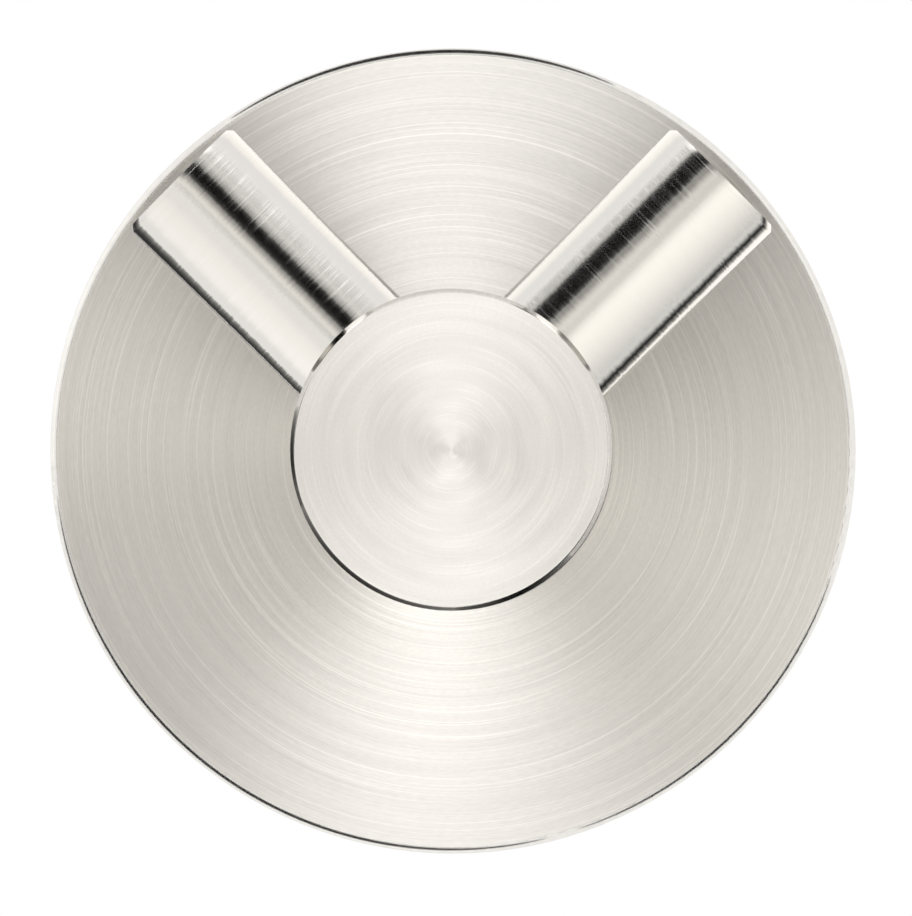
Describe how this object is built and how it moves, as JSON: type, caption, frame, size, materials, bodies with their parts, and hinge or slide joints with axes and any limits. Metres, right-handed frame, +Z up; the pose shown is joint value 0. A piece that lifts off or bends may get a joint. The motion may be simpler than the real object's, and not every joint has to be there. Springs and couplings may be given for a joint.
{
  "type": "double robe hook",
  "caption": "Wall-mounted robe hook: a round cover plate, a round post standing out of it and two plain pins that leave the post at 45 degrees, up to either side.",
  "frame": {"origin": "centre of the flat back that lies on the wall, on the axis of the post", "axes": "+Y into the wall, -Y out of the wall along the post, +Z up, +X to the right as seen from the front"},
  "size_m": [0.055, 0.045, 0.055],
  "materials": {
    "brushed_nickel": "satin nickel, brushed in circles on the flat faces and around the pins",
    "zinc_plated_steel": "bright zinc plating",
    "ground_steel": "plain hardened steel",
    "bracket_metal": "plain turned steel, dull"
  },
  "bodies": {
    "root": {"cover_plate": "brushed_nickel", "post": "brushed_nickel", "left_pin": "brushed_nickel", "right_pin": "brushed_nickel", "left_pin_stud": "zinc_plated_steel", "right_pin_stud": "zinc_plated_steel", "post_screw": "zinc_plated_steel", "lock_washer": "zinc_plated_steel", "locating_pin": "ground_steel", "wall_bracket": "bracket_metal", "grub_screw": "ground_steel"}
  },
  "joints": []
}
